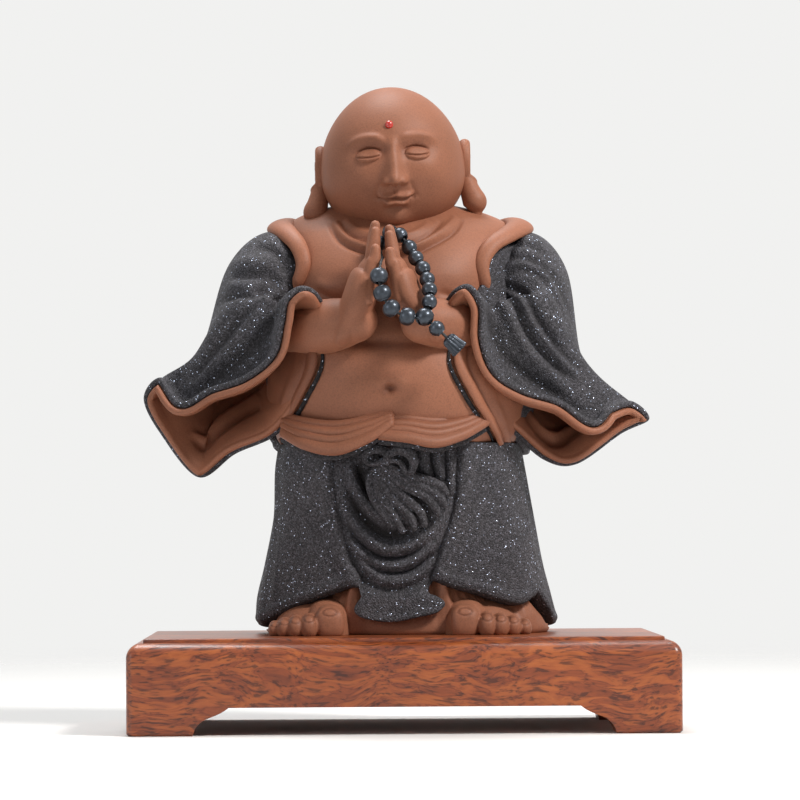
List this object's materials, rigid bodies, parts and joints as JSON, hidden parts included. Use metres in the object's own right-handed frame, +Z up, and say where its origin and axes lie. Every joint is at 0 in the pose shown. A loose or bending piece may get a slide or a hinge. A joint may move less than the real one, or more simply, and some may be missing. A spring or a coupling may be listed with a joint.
{
  "type": "laughing buddha statue",
  "caption": "Round-bellied standing monk statue with pressed palms, wide sleeves and a string of loose beads, on a low arched stand.",
  "frame": {"origin": "under the middle of the stand, on the plane it rests on", "axes": "+Z up, the figure faces -Y, +X is the figure's left side"},
  "size_m": [0.147, 0.0883, 0.1756],
  "materials": {
    "brown_clay": "unglazed, fine matte grain",
    "dark_clay": "unglazed, coarse sand with fine sparkle",
    "bead_stone": "polished, metallic sheen",
    "cord_fibre": "waxed cord",
    "red_glaze": "gloss",
    "rosewood": "oiled, satin"
  },
  "bodies": {
    "stand": {"stand_block": "rosewood", "stand_top_panel": "rosewood"},
    "figure": {"skirt_shell": "dark_clay", "skirt_center_drape": "dark_clay", "under_hem": "brown_clay", "right_foot": "brown_clay", "left_foot": "brown_clay", "torso": "brown_clay", "robe_back": "dark_clay", "right_collar": "brown_clay", "left_collar": "brown_clay", "head": "brown_clay", "right_ear": "brown_clay", "left_ear": "brown_clay", "brow_dot": "red_glaze", "right_sleeve_shell": "dark_clay", "right_sleeve_lining": "brown_clay", "right_arm": "brown_clay", "left_sleeve_shell": "dark_clay", "left_sleeve_lining": "brown_clay", "left_arm": "brown_clay", "waist_hem_right": "brown_clay", "waist_hem_left": "brown_clay", "sash_knot": "dark_clay", "sash_tail_long": "dark_clay", "sash_tail_short": "dark_clay", "mala_cord": "cord_fibre", "tassel": "bead_stone", "guru_bead": "bead_stone"},
    "bead_01": {"bead_01": "bead_stone"},
    "bead_02": {"bead_02": "bead_stone"},
    "bead_03": {"bead_03": "bead_stone"},
    "bead_04": {"bead_04": "bead_stone"},
    "bead_05": {"bead_05": "bead_stone"},
    "bead_06": {"bead_06": "bead_stone"},
    "bead_07": {"bead_07": "bead_stone"},
    "bead_08": {"bead_08": "bead_stone"},
    "bead_09": {"bead_09": "bead_stone"},
    "bead_10": {"bead_10": "bead_stone"},
    "bead_11": {"bead_11": "bead_stone"},
    "bead_12": {"bead_12": "bead_stone"},
    "bead_13": {"bead_13": "bead_stone"},
    "tail_bead": {"tail_bead": "bead_stone"}
  },
  "joints": [
    {"name": "figure_lift", "type": "slide", "parent": "stand", "child": "figure", "axis": [0, 0, 1], "range_m": [0, 0.04]},
    {"name": "bead_01_spin", "type": "hinge", "parent": "figure", "child": "bead_01", "pos_m": [-0.0054, -0.0214, 0.1315], "axis": [0.338, -0.0294, 0.9407], "continuous": true},
    {"name": "bead_02_spin", "type": "hinge", "parent": "figure", "child": "bead_02", "pos_m": [-0.0029, -0.0242, 0.1341], "axis": [0.6173, -0.7625, 0.1937], "continuous": true},
    {"name": "bead_03_spin", "type": "hinge", "parent": "figure", "child": "bead_03", "pos_m": [-0.0003, -0.0277, 0.1331], "axis": [0.6468, -0.52, -0.558], "continuous": true},
    {"name": "bead_04_spin", "type": "hinge", "parent": "figure", "child": "bead_04", "pos_m": [0.0022, -0.0283, 0.1297], "axis": [0.5174, -0.3326, -0.7884], "continuous": true},
    {"name": "bead_05_spin", "type": "hinge", "parent": "figure", "child": "bead_05", "pos_m": [0.0039, -0.0304, 0.1267], "axis": [0.4351, -0.5221, -0.7335], "continuous": true},
    {"name": "bead_06_spin", "type": "hinge", "parent": "figure", "child": "bead_06", "pos_m": [0.0057, -0.0325, 0.1238], "axis": [0.3607, -0.5596, -0.7462], "continuous": true},
    {"name": "bead_07_spin", "type": "hinge", "parent": "figure", "child": "bead_07", "pos_m": [0.0068, -0.0349, 0.1207], "axis": [0.1975, -0.642, -0.7408], "continuous": true},
    {"name": "bead_08_spin", "type": "hinge", "parent": "figure", "child": "bead_08", "pos_m": [0.0073, -0.0377, 0.1178], "axis": [0.0501, -0.6132, -0.7884], "continuous": true},
    {"name": "bead_09_spin", "type": "hinge", "parent": "figure", "child": "bead_09", "pos_m": [0.0072, -0.0398, 0.1144], "axis": [-0.1668, -0.4409, -0.8819], "continuous": true},
    {"name": "bead_10_spin", "type": "hinge", "parent": "figure", "child": "bead_10", "pos_m": [0.0013, -0.0418, 0.1105], "axis": [-0.966, -0.0549, 0.2525], "continuous": true},
    {"name": "bead_11_spin", "type": "hinge", "parent": "figure", "child": "bead_11", "pos_m": [-0.0029, -0.0419, 0.1127], "axis": [-0.7288, -0.011, 0.6846], "continuous": true},
    {"name": "bead_12_spin", "type": "hinge", "parent": "figure", "child": "bead_12", "pos_m": [-0.0053, -0.0419, 0.1167], "axis": [-0.3486, 0.0327, 0.9367], "continuous": true},
    {"name": "bead_13_spin", "type": "hinge", "parent": "figure", "child": "bead_13", "pos_m": [-0.0061, -0.0416, 0.1213], "axis": [-0.0349, 0.3021, 0.9527], "continuous": true},
    {"name": "tail_bead_spin", "type": "hinge", "parent": "figure", "child": "tail_bead", "pos_m": [0.0091, -0.0415, 0.1073], "axis": [0.7292, 0, -0.6843], "continuous": true}
  ]
}
